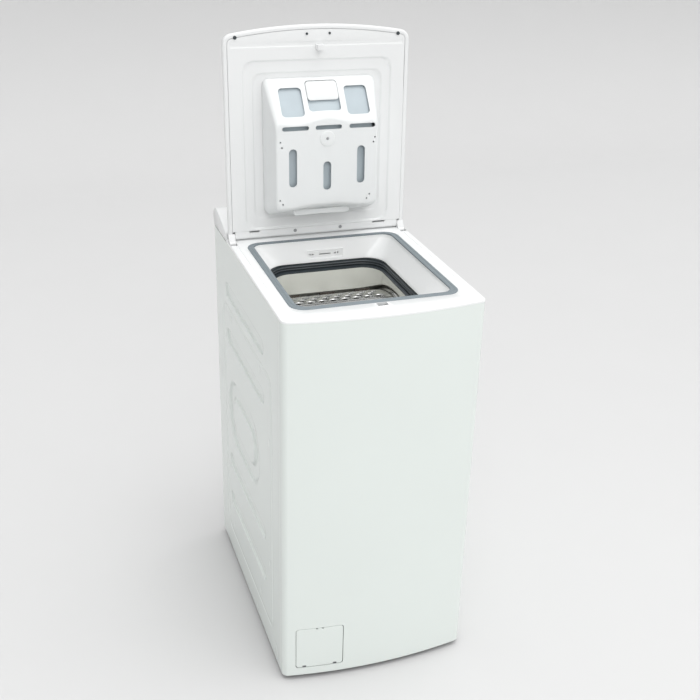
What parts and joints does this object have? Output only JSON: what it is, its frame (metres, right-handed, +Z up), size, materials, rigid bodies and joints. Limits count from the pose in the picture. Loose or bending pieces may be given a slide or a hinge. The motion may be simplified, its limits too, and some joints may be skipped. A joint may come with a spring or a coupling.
{
  "type": "top load washing machine",
  "caption": "Slim white top-loading washing machine, lid standing open with its dispenser, over a round-cornered well, sprung tub and a drum with two loading flaps.",
  "frame": {"origin": "on the floor under the middle of the machine's footprint, width and depth halved", "axes": "+X to the right seen from the front, +Y to the back, +Z up"},
  "size_m": [0.4, 0.6, 1.2616],
  "materials": {
    "painted_steel": "cool white powder coat, satin",
    "white_plastic": "bright white moulded ABS, soft gloss",
    "dispenser_plastic": "white polypropylene, fine satin grain",
    "control_panel": "white printed panel, gloss",
    "display": "smoked clear display window",
    "circuit_board": "green glass-fibre board",
    "silver_plastic": "silver lacquered plastic",
    "seal_rubber": "blue-grey rubber",
    "black_rubber": "near-black rubber",
    "grey_rubber": "grey hose rubber",
    "tub_plastic": "beige-grey glass-filled polypropylene",
    "grey_plastic": "dark grey plastic",
    "stainless": "embossed stainless sheet",
    "zinc_steel": "zinc-plated steel",
    "damper_steel": "grey painted steel",
    "ballast": "cast concrete, rough and grey",
    "motor_metal": "cast aluminium motor frame",
    "pulley_metal": "die-cast aluminium",
    "brown_steel": "sheathed heating rod"
  },
  "bodies": {
    "cabinet": {"side_panel_left": "painted_steel", "side_panel_right": "painted_steel", "front_panel": "painted_steel", "back_panel": "painted_steel", "base_frame": "grey_plastic", "worktop": "white_plastic", "lid_seal": "seal_rubber", "console_housing": "white_plastic", "control_fascia": "control_panel", "display_window": "display", "control_board": "circuit_board", "lid_lock": "grey_plastic", "spray_nozzle": "white_plastic", "inlet_valve": "grey_plastic", "fill_hose": "grey_rubber", "drain_spigot": "grey_plastic", "drain_hose": "grey_rubber", "drain_pump": "grey_plastic", "hinge_brackets": "white_plastic", "cable_gland": "grey_plastic", "transit_plugs": "grey_plastic", "damper_cylinders": "damper_steel", "panel_screws": "zinc_steel"},
    "lid": {"lid_outer": "white_plastic", "lid_inner": "white_plastic", "hinge_strip": "white_plastic", "lid_hook": "white_plastic", "lid_bumpers": "black_rubber"},
    "dispenser": {"dispenser_body": "dispenser_plastic"},
    "release_tab": {"dispenser_tab": "dispenser_plastic"},
    "tub": {"tub_shell": "tub_plastic", "tub_end_left": "tub_plastic", "tub_end_right": "tub_plastic", "counterweights": "ballast", "heater": "brown_steel", "motor": "motor_metal", "drive_belt": "black_rubber", "damper_rods": "zinc_steel", "bellows": "black_rubber", "suspension_springs": "zinc_steel", "sump_hose": "black_rubber"},
    "drum": {"drum_shell": "stainless", "drum_pulley": "pulley_metal"},
    "rotor": {"motor_pulley": "zinc_steel"},
    "drum_flap_front": {"drum_door_front": "stainless"},
    "drum_flap_rear": {"drum_door_rear": "stainless"},
    "flap_latch": {"drum_door_latch": "grey_plastic"},
    "knob": {"program_knob": "silver_plastic"},
    "power": {"power_button": "silver_plastic"},
    "start": {"start_button": "silver_plastic"},
    "option_1": {"option_button_1": "silver_plastic"},
    "option_2": {"option_button_2": "silver_plastic"},
    "option_3": {"option_button_3": "silver_plastic"},
    "lock_bolt": {"lid_lock_bolt": "grey_plastic"},
    "filter": {"filter_cap": "grey_plastic"},
    "access_flap": {"service_flap": "painted_steel"},
    "foot_1": {"levelling_foot_1": "grey_plastic"},
    "foot_2": {"levelling_foot_2": "grey_plastic"},
    "foot_3": {"levelling_foot_3": "grey_plastic"},
    "foot_4": {"levelling_foot_4": "grey_plastic"}
  },
  "joints": [
    {"name": "lid_hinge", "type": "hinge", "parent": "cabinet", "child": "lid", "pos_m": [0, 0.15, 0.818], "axis": [-1, 0, 0], "range_deg": [-91.7, 0]},
    {"name": "dispenser_pull", "type": "slide", "parent": "lid", "child": "dispenser", "axis": [0, -0.9996, 0.0297], "range_m": [0, 0.07]},
    {"name": "release_press", "type": "slide", "parent": "dispenser", "child": "release_tab", "axis": [0, 0.7871, -0.6168], "range_m": [0, 0.004], "stiffness_N_per_m": 1500, "springref_m": -0.0005},
    {"name": "tub_travel", "type": "slide", "parent": "cabinet", "child": "tub", "axis": [0, 0, 1], "range_m": [-0.012, 0.008], "stiffness_N_per_m": 25000, "springref_m": 0.0139, "deforming": ["bellows", "suspension_springs", "sump_hose"]},
    {"name": "drum_spin", "type": "hinge", "parent": "tub", "child": "drum", "pos_m": [0, -0.016, 0.501], "axis": [1, 0, 0], "range_deg": [-360, 360]},
    {"name": "rotor_spin", "type": "hinge", "parent": "tub", "child": "rotor", "pos_m": [0, 0.12, 0.15], "axis": [1, 0, 0], "range_deg": [-5040, 5040]},
    {"name": "front_flap_hinge", "type": "hinge", "parent": "drum", "child": "drum_flap_front", "pos_m": [0, -0.11468, 0.71262], "axis": [1, 0, 0], "range_deg": [0, 92]},
    {"name": "rear_flap_hinge", "type": "hinge", "parent": "drum", "child": "drum_flap_rear", "pos_m": [0, 0.08268, 0.71262], "axis": [-1, 0, 0], "range_deg": [0, 81]},
    {"name": "flap_latch_press", "type": "slide", "parent": "drum_flap_front", "child": "flap_latch", "axis": [0, 0.0698, -0.9976], "range_m": [0, 0.003], "stiffness_N_per_m": 900, "springref_m": -0.001},
    {"name": "knob_turn", "type": "hinge", "parent": "cabinet", "child": "knob", "pos_m": [-0.092, 0.218, 0.8472], "axis": [0, -0.2588, 0.9659], "continuous": true},
    {"name": "power_press", "type": "slide", "parent": "cabinet", "child": "power", "axis": [0, 0.2588, -0.9659], "range_m": [0, 0.0012], "stiffness_N_per_m": 1500, "springref_m": -0.0004},
    {"name": "start_press", "type": "slide", "parent": "cabinet", "child": "start", "axis": [0, 0.2588, -0.9659], "range_m": [0, 0.0012], "stiffness_N_per_m": 1500, "springref_m": -0.0004},
    {"name": "option_1_press", "type": "slide", "parent": "cabinet", "child": "option_1", "axis": [0, 0.2588, -0.9659], "range_m": [0, 0.001], "stiffness_N_per_m": 1500, "springref_m": -0.0004},
    {"name": "option_2_press", "type": "slide", "parent": "cabinet", "child": "option_2", "axis": [0, 0.2588, -0.9659], "range_m": [0, 0.001], "stiffness_N_per_m": 1500, "springref_m": -0.0004},
    {"name": "option_3_press", "type": "slide", "parent": "cabinet", "child": "option_3", "axis": [0, 0.2588, -0.9659], "range_m": [0, 0.001], "stiffness_N_per_m": 1500, "springref_m": -0.0004},
    {"name": "lock_bolt_slide", "type": "slide", "parent": "cabinet", "child": "lock_bolt", "axis": [-1, 0, 0], "range_m": [0, 0.009], "stiffness_N_per_m": 200, "springref_m": -0.002},
    {"name": "filter_turn", "type": "hinge", "parent": "cabinet", "child": "filter", "pos_m": [-0.124, -0.262, 0.08], "axis": [0, 1, 0], "range_deg": [0, 90]},
    {"name": "access_flap_hinge", "type": "hinge", "parent": "cabinet", "child": "access_flap", "pos_m": [-0.124, -0.29072, 0.0325], "axis": [0.9934, -0.1151, 0], "range_deg": [0, 88]},
    {"name": "foot_1_screw", "type": "slide", "parent": "cabinet", "child": "foot_1", "axis": [0, 0, 1], "range_m": [-0.012, 0.003]},
    {"name": "foot_2_screw", "type": "slide", "parent": "cabinet", "child": "foot_2", "axis": [0, 0, 1], "range_m": [-0.012, 0.003]},
    {"name": "foot_3_screw", "type": "slide", "parent": "cabinet", "child": "foot_3", "axis": [0, 0, 1], "range_m": [-0.012, 0.003]},
    {"name": "foot_4_screw", "type": "slide", "parent": "cabinet", "child": "foot_4", "axis": [0, 0, 1], "range_m": [-0.012, 0.003]}
  ],
  "couplings": [
    {"joint": "rotor_spin", "follows": "drum_spin", "ratio": 14}
  ]
}
